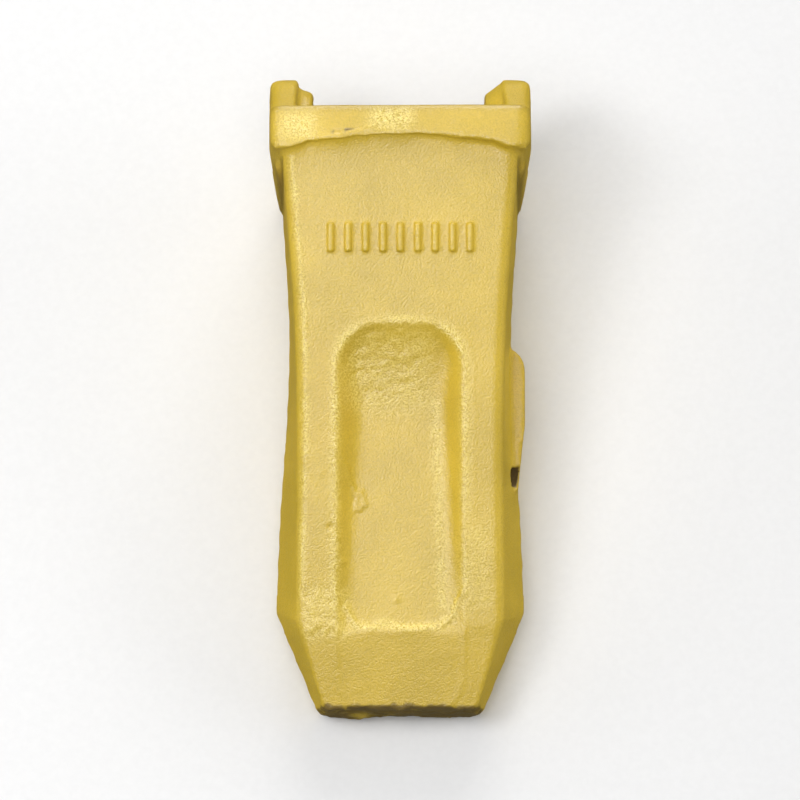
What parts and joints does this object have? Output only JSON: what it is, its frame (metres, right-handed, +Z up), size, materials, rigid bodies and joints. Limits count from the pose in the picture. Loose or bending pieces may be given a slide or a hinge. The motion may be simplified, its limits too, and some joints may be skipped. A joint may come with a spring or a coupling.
{
  "type": "excavator bucket tooth",
  "caption": "Cast wedge tip with a scooped top face, a socket for an adapter's nose and two rear ears crossed by a side locking pin with a split-ring retainer.",
  "frame": {"origin": "centre of the locking pin's hole, on the tooth's centre plane", "axes": "+Y back out of the socket towards the adapter, +X along the locking pin to the right, +Z up from the flat wear face"},
  "size_m": [0.1336, 0.3195, 0.117],
  "materials": {
    "casting": "semi-gloss golden yellow paint over an as-cast surface",
    "pin_steel": "machined and oiled, dark oxide in the groove",
    "spring_steel": "blued spring steel",
    "cushion": "matt moulded rubber"
  },
  "bodies": {
    "tip": {"tip_casting": "casting"},
    "pin": {"locking_pin": "pin_steel"},
    "retainer": {"retainer_ring": "spring_steel", "retainer_cushion": "cushion"}
  },
  "joints": [
    {"name": "pin_drive_out", "type": "slide", "parent": "tip", "child": "pin", "axis": [1, 0, 0], "range_m": [0, 0.135], "deforming": ["retainer_ring"]},
    {"name": "retainer_withdraw", "type": "slide", "parent": "tip", "child": "retainer", "axis": [1, 0, 0], "range_m": [0, 0.03], "deforming": ["retainer_ring"]}
  ]
}
